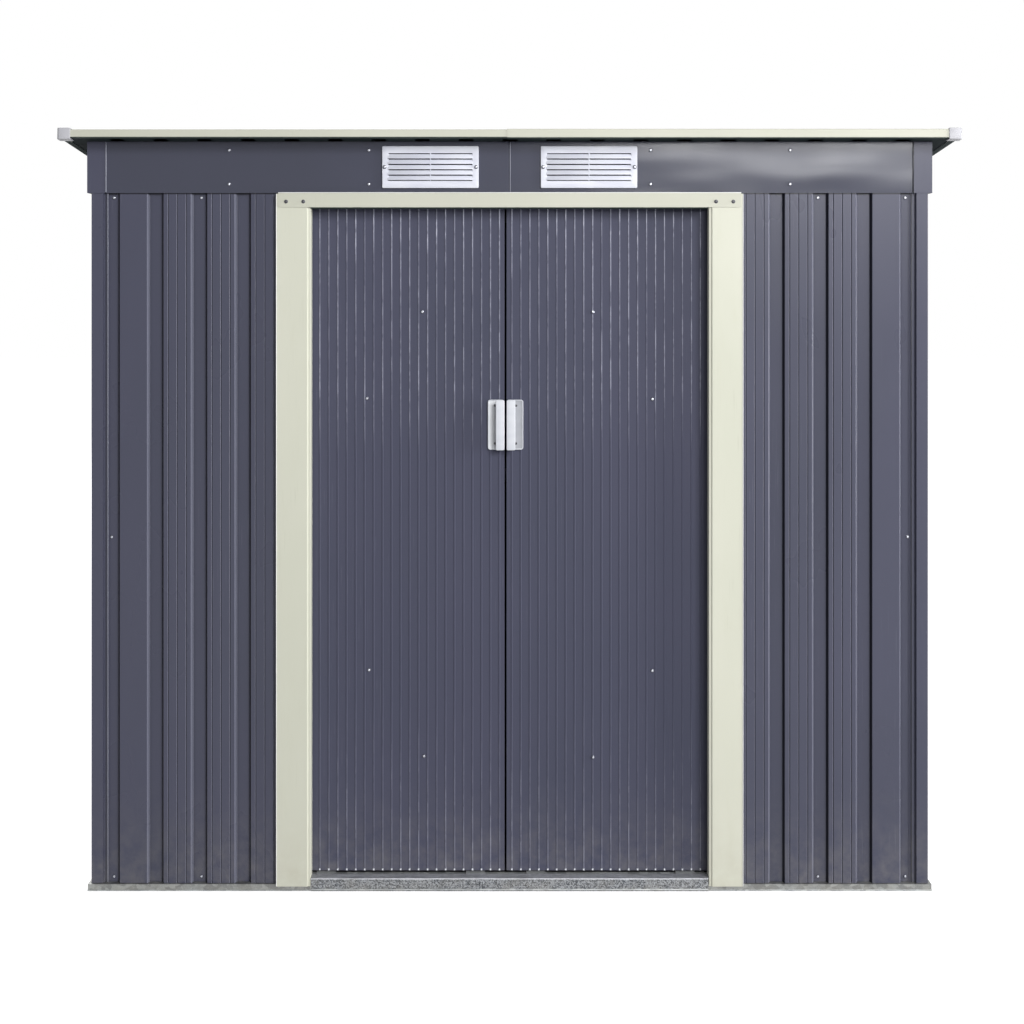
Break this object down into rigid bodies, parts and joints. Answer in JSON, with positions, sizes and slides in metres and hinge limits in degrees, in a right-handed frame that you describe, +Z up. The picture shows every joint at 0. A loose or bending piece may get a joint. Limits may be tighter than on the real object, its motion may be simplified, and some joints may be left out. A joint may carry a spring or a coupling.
{
  "type": "metal storage shed",
  "caption": "Pent-roof shed of ribbed steel sheet with a pair of sliding front doors, louvred vents and a trimmed overhanging roof.",
  "frame": {"origin": "on the ground, at the middle of the roof's outline", "axes": "+Z up, -Y the front with the doors, +X to the right seen from the front"},
  "size_m": [2.13, 1.3024, 1.8148],
  "materials": {
    "slate_steel_sheet": "satin",
    "slate_door_sheet": "satin",
    "cream_steel_trim": "satin",
    "galvanised_steel": "spangled",
    "white_plastic": "smooth"
  },
  "bodies": {
    "shed": {"base_rail_front": "galvanised_steel", "base_rail_back": "galvanised_steel", "base_rail_left": "galvanised_steel", "base_rail_right": "galvanised_steel", "wall_braces": "galvanised_steel", "top_rails": "galvanised_steel", "door_track": "galvanised_steel", "door_guide_rail": "galvanised_steel", "door_sill": "galvanised_steel", "roof_beam": "galvanised_steel", "corner_post_front_left": "slate_steel_sheet", "corner_post_front_right": "slate_steel_sheet", "corner_post_back_left": "slate_steel_sheet", "corner_post_back_right": "slate_steel_sheet", "front_wall_left": "slate_steel_sheet", "front_wall_right": "slate_steel_sheet", "left_wall": "slate_steel_sheet", "right_wall": "slate_steel_sheet", "back_wall": "slate_steel_sheet", "header_left": "slate_steel_sheet", "header_right": "slate_steel_sheet", "gable_left": "slate_steel_sheet", "gable_right": "slate_steel_sheet", "roof_panel_1": "slate_steel_sheet", "roof_panel_2": "slate_steel_sheet", "roof_panel_3": "slate_steel_sheet", "roof_panel_4": "slate_steel_sheet", "door_jamb_left": "cream_steel_trim", "door_jamb_right": "cream_steel_trim", "door_lintel": "cream_steel_trim", "roof_trim_front": "cream_steel_trim", "roof_trim_back": "cream_steel_trim", "roof_trim_left": "cream_steel_trim", "roof_trim_right": "cream_steel_trim", "vent_left": "white_plastic", "vent_right": "white_plastic", "roof_corner_caps": "white_plastic"},
    "left_door": {"left_door_panel": "slate_door_sheet", "left_door_frame": "galvanised_steel", "left_door_handle": "white_plastic", "left_door_gliders": "white_plastic"},
    "right_door": {"right_door_panel": "slate_door_sheet", "right_door_frame": "galvanised_steel", "right_door_handle": "white_plastic", "right_door_gliders": "white_plastic"}
  },
  "joints": [
    {"name": "left_door_slide", "type": "slide", "parent": "shed", "child": "left_door", "axis": [-1, 0, 0], "range_m": [0, 0.4155]},
    {"name": "right_door_slide", "type": "slide", "parent": "shed", "child": "right_door", "axis": [1, 0, 0], "range_m": [0, 0.4355]}
  ]
}
